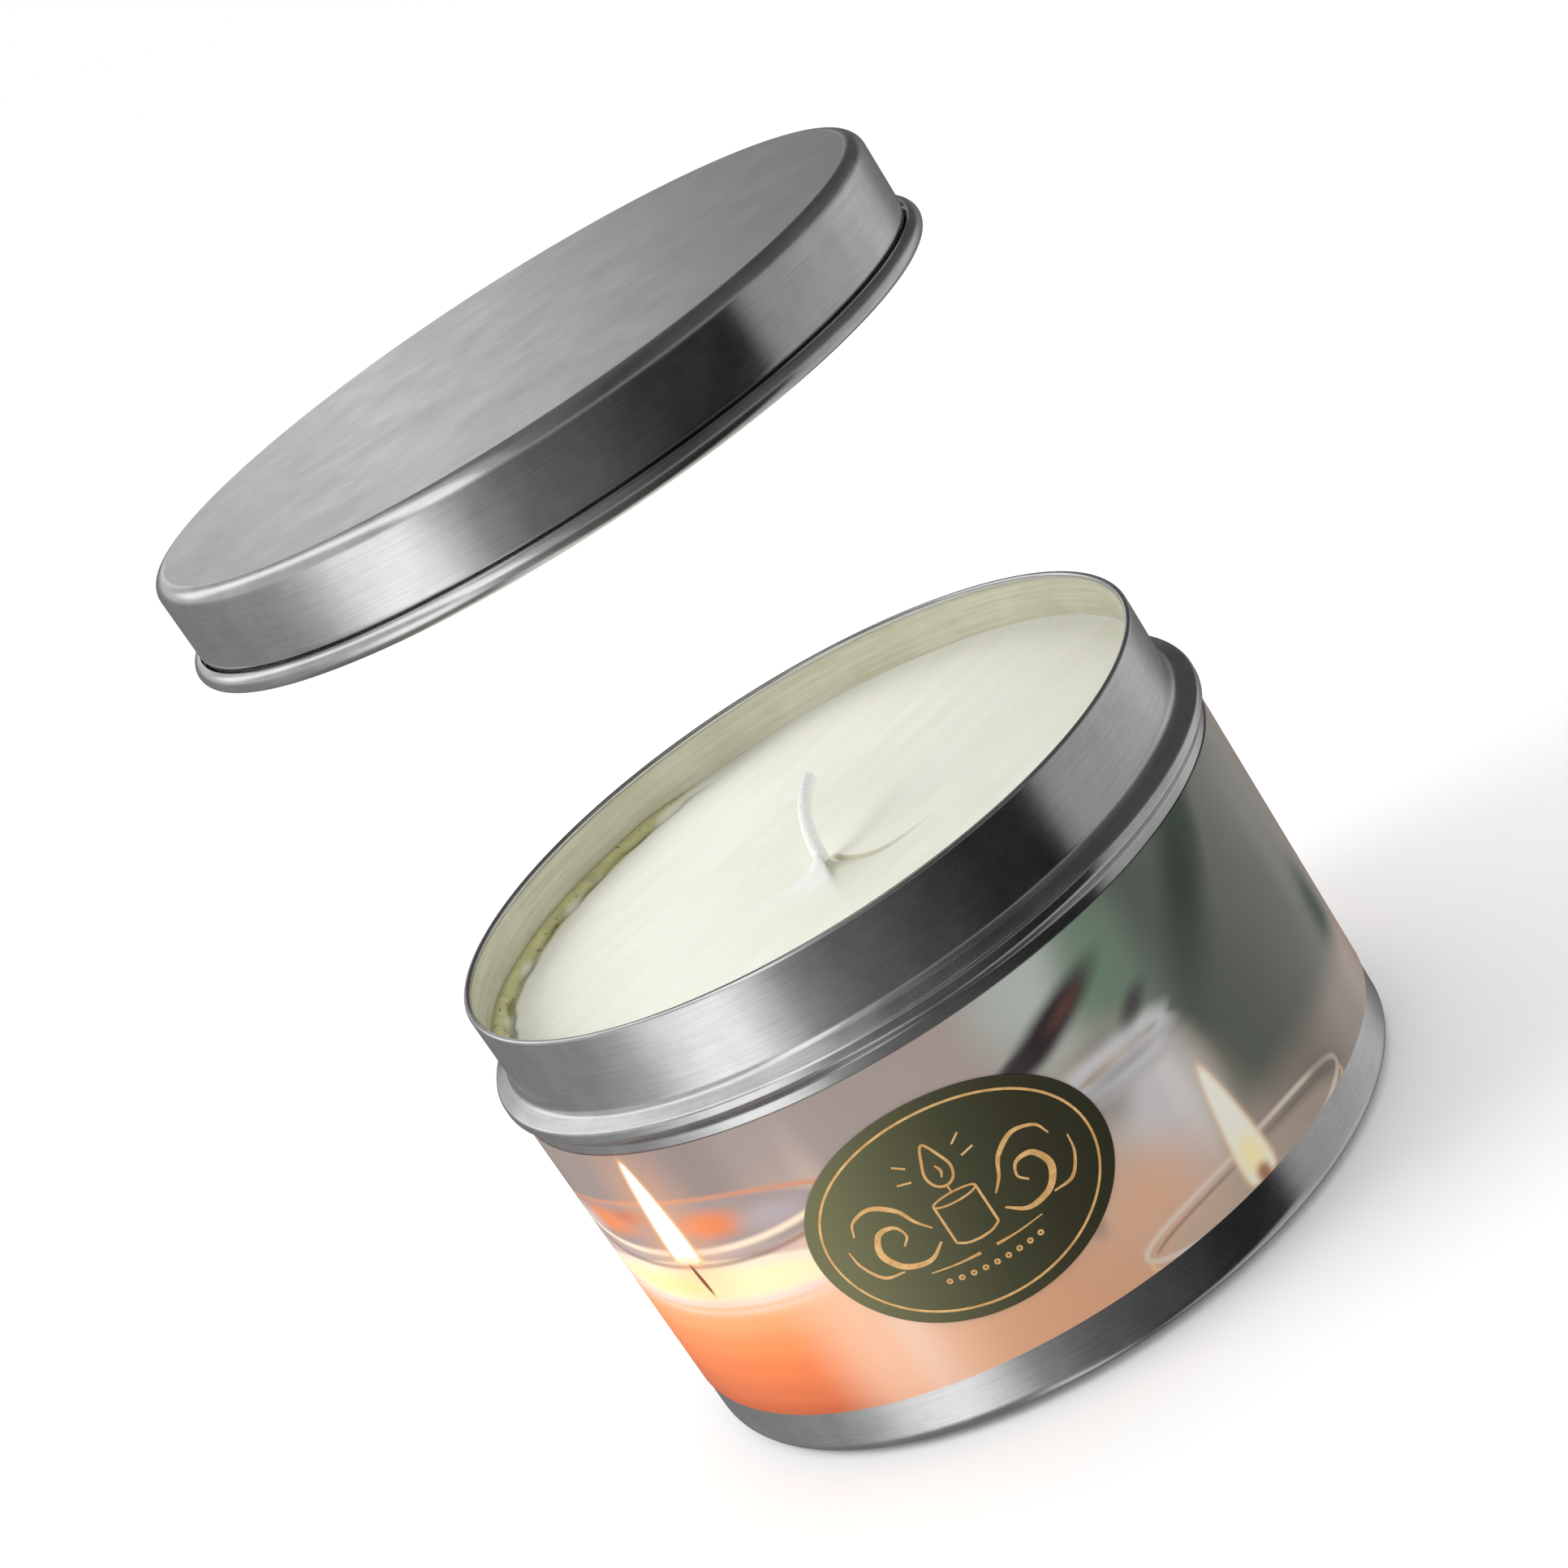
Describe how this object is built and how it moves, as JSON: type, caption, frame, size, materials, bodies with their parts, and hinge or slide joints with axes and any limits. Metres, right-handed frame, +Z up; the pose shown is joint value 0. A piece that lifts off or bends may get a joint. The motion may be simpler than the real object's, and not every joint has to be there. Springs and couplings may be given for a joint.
{
  "type": "candle tin",
  "caption": "Round seamless candle tin with a slip lid lifted off, poured wax, a cored wick, a printed wrap label and an oval sticker.",
  "frame": {"origin": "centre of the base, on the surface the tin stands on", "axes": "+Z up along the tin's axis; the front, with the oval sticker, faces -Y; +X is to the right seen from the front"},
  "size_m": [0.078, 0.078, 0.0997],
  "materials": {
    "tinplate": "brushed tinplate, fine grain round the circumference",
    "label_film": "printed label, satin",
    "sticker_film": "printed oval sticker, satin olive with gold lines",
    "wax": "poured soy wax, smooth and slightly translucent",
    "cotton": "waxed cotton braid",
    "core_paper": "rolled paper",
    "sustainer_steel": "pressed tinplate",
    "foam": "white adhesive foam"
  },
  "bodies": {
    "tin": {"tin_body": "tinplate", "wrap_label": "label_film", "oval_sticker": "sticker_film", "wax_fill": "wax", "wick_braid": "cotton", "wick_core": "core_paper", "wick_sustainer": "sustainer_steel", "wick_adhesive_pad": "foam"},
    "lid": {"lid": "tinplate"}
  },
  "joints": [
    {"name": "lid_lift", "type": "slide", "parent": "tin", "child": "lid", "axis": [0, 0, 1], "range_m": [-0.049, 0.025]}
  ]
}
